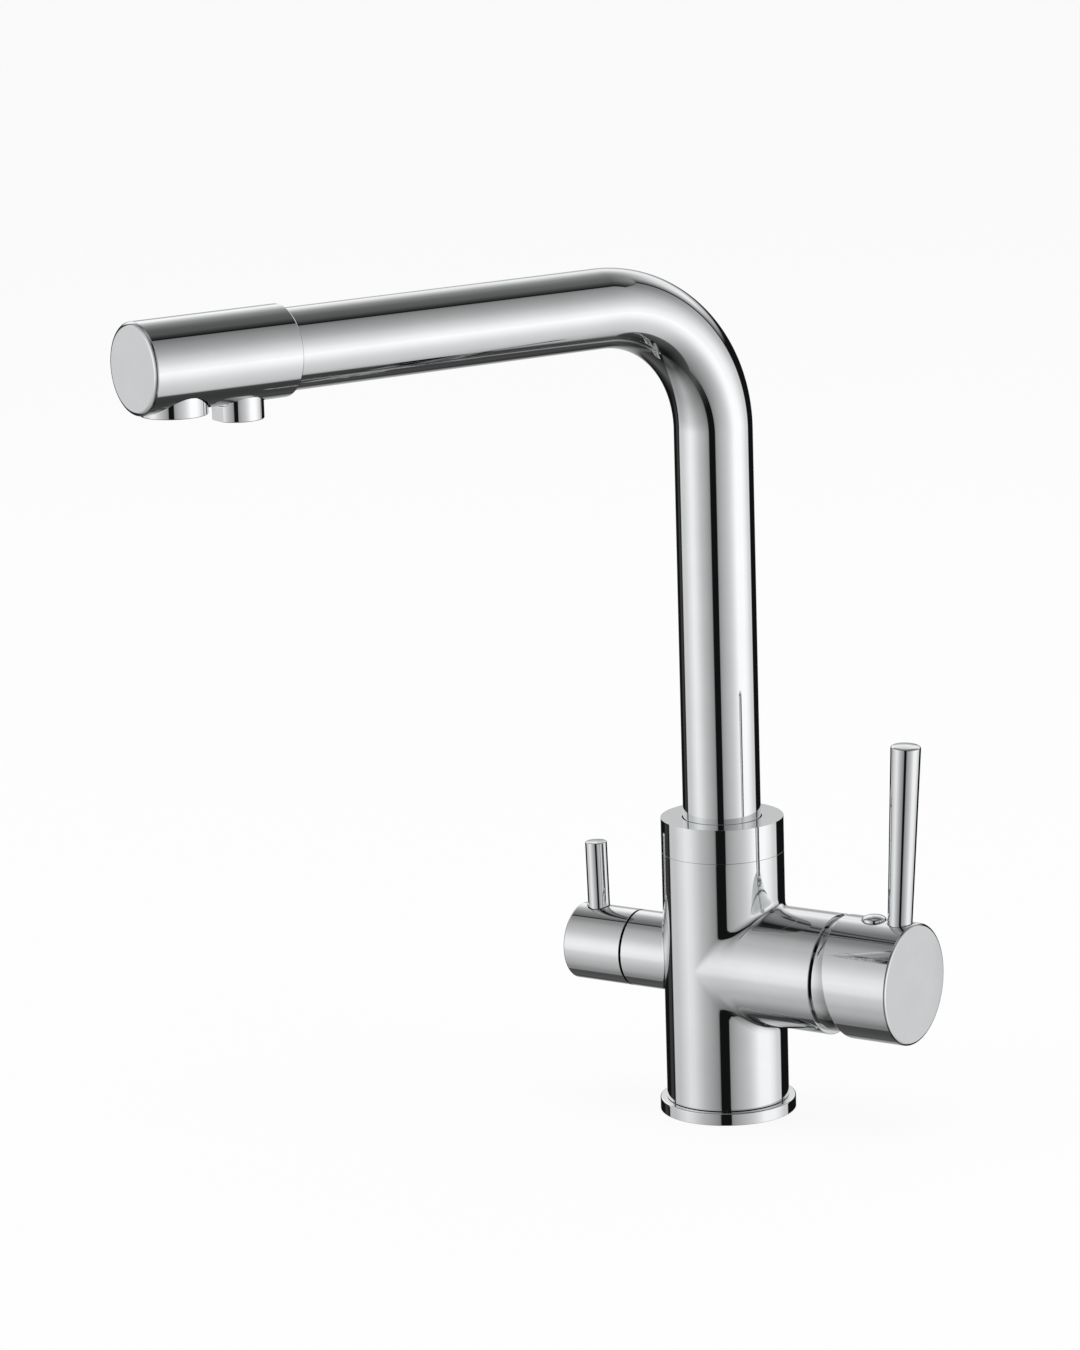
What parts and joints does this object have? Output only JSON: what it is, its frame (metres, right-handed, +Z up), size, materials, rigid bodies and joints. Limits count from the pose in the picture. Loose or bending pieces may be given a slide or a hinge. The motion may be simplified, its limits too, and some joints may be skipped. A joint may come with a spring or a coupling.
{
  "type": "kitchen tap",
  "caption": "Chrome three way kitchen tap: swivel L spout with mixed and filtered outlets, side mixer lever and a quarter turn lever for filtered water.",
  "frame": {"origin": "centre of the base flange's underside, on the sink deck", "axes": "+Z up along the body and the spout's riser, +X towards the hot and cold mixer handle, -X towards the filtered water handle, -Y towards the user"},
  "size_m": [0.1888, 0.2438, 0.3133],
  "materials": {
    "chrome": "polished chrome plate on brass",
    "brass": "machined",
    "stainless_steel": "machined",
    "ceramic": "lapped alumina ceramic",
    "white_acetal": "moulded acetal",
    "grey_plastic": "moulded",
    "black_rubber": "moulded",
    "hose_plastic": "extruded"
  },
  "bodies": {
    "base": {"base_flange": "chrome", "base_seal": "black_rubber", "tap_body": "chrome", "spout_collar": "chrome", "lower_bearing": "white_acetal", "upper_bearing": "white_acetal", "filtered_stem": "brass", "stem_seal": "black_rubber", "cartridge_base_seal": "black_rubber", "cartridge_base": "white_acetal", "cartridge_housing": "white_acetal", "fixed_disc": "ceramic", "cartridge_nut": "brass", "cartridge_cover": "chrome", "valve_seal": "black_rubber", "valve_fixed_disc": "ceramic", "valve_headwork": "brass"},
    "spout": {"spout_foot": "brass", "foot_seal_lower": "black_rubber", "foot_seal_upper": "black_rubber", "spout_tube": "chrome", "hose_connector": "white_acetal", "filter_hose": "hose_plastic", "spout_head": "chrome", "hose_nipple": "brass", "mains_aerator_housing": "chrome", "mains_aerator_insert": "white_acetal", "mains_aerator_seal": "black_rubber", "filter_aerator_housing": "chrome", "filter_aerator_insert": "white_acetal", "filter_aerator_seal": "black_rubber"},
    "mixer_swivel": {"pivot_sleeve": "grey_plastic", "pivot_pin": "stainless_steel"},
    "mixer_grip": {"mixer_spindle": "stainless_steel", "mixer_handle": "chrome", "handle_screw": "stainless_steel", "index_plug": "chrome", "mixer_lever": "chrome"},
    "mixer_disc": {"moving_disc": "ceramic", "disc_carrier": "grey_plastic"},
    "filter_grip": {"filter_spindle": "brass", "spindle_seal": "black_rubber", "spindle_clip": "stainless_steel", "valve_moving_disc": "ceramic", "filter_handle": "chrome", "filter_handle_screw": "stainless_steel", "filter_lever": "chrome"}
  },
  "joints": [
    {"name": "spout_swivel", "type": "hinge", "parent": "base", "child": "spout", "pos_m": [0, 0, 0.0962], "axis": [0, 0, 1], "continuous": true},
    {"name": "mixer_temperature", "type": "hinge", "parent": "base", "child": "mixer_swivel", "pos_m": [0.0505, 0, 0.05565], "axis": [1, 0, 0], "range_deg": [-45, 45]},
    {"name": "mixer_flow", "type": "hinge", "parent": "mixer_swivel", "child": "mixer_grip", "pos_m": [0.0505, 0, 0.05565], "axis": [0, 1, 0], "range_deg": [0, 22]},
    {"name": "mixer_disc_travel", "type": "slide", "parent": "mixer_swivel", "child": "mixer_disc", "axis": [0, 0, 1], "range_m": [0, 0.0062]},
    {"name": "filter_turn", "type": "hinge", "parent": "base", "child": "filter_grip", "pos_m": [-0.05, 0, 0.05525], "axis": [1, 0, 0], "range_deg": [0, 90]}
  ],
  "couplings": [
    {"joint": "mixer_disc_travel", "follows": "mixer_flow", "m_per_rad": 0.016}
  ]
}
